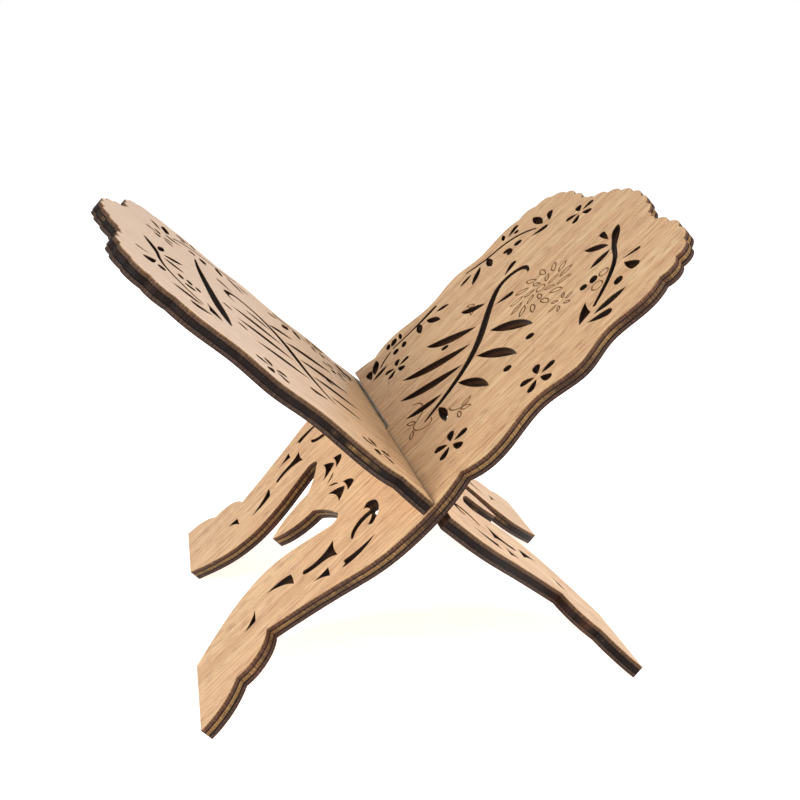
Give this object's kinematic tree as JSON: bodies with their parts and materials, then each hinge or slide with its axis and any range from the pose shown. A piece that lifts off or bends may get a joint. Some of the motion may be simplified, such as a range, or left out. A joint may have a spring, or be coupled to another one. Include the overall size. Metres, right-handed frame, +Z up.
{
  "type": "bible stand",
  "caption": "Laser cut plywood book stand: two scalloped boards with arched legs and leaf fretwork cross in an X through half-lap slots and pull apart along the crossing line",
  "frame": {"origin": "on the surface that the stand stands on, below the middle of the crossing line of the two boards", "axes": "+Z up; +Y along the crossing line, the way board B pulls out; +X the way board A's book panel leans"},
  "size_m": [0.2594, 0.1972, 0.2098],
  "materials": {
    "board_a_front_veneer": "sanded pale veneer, satin, its cut edges burnt dark brown by the laser",
    "board_a_core": "plywood core, its cut edges burnt dark brown by the laser",
    "board_a_back_veneer": "sanded pale veneer, satin, its cut edges burnt dark brown by the laser",
    "board_b_front_veneer": "sanded pale veneer, satin, its cut edges burnt dark brown by the laser",
    "board_b_core": "plywood core, its cut edges burnt dark brown by the laser",
    "board_b_back_veneer": "sanded pale veneer, satin, its cut edges burnt dark brown by the laser"
  },
  "bodies": {
    "board_a": {"board_a_front_veneer": "board_a_front_veneer", "board_a_core": "board_a_core", "board_a_back_veneer": "board_a_back_veneer"},
    "board_b": {"board_b_front_veneer": "board_b_front_veneer", "board_b_core": "board_b_core", "board_b_back_veneer": "board_b_back_veneer"}
  },
  "joints": [
    {"name": "board_b_pull_apart", "type": "slide", "parent": "board_a", "child": "board_b", "axis": [0, 1, 0], "range_m": [0, 0.1]}
  ]
}
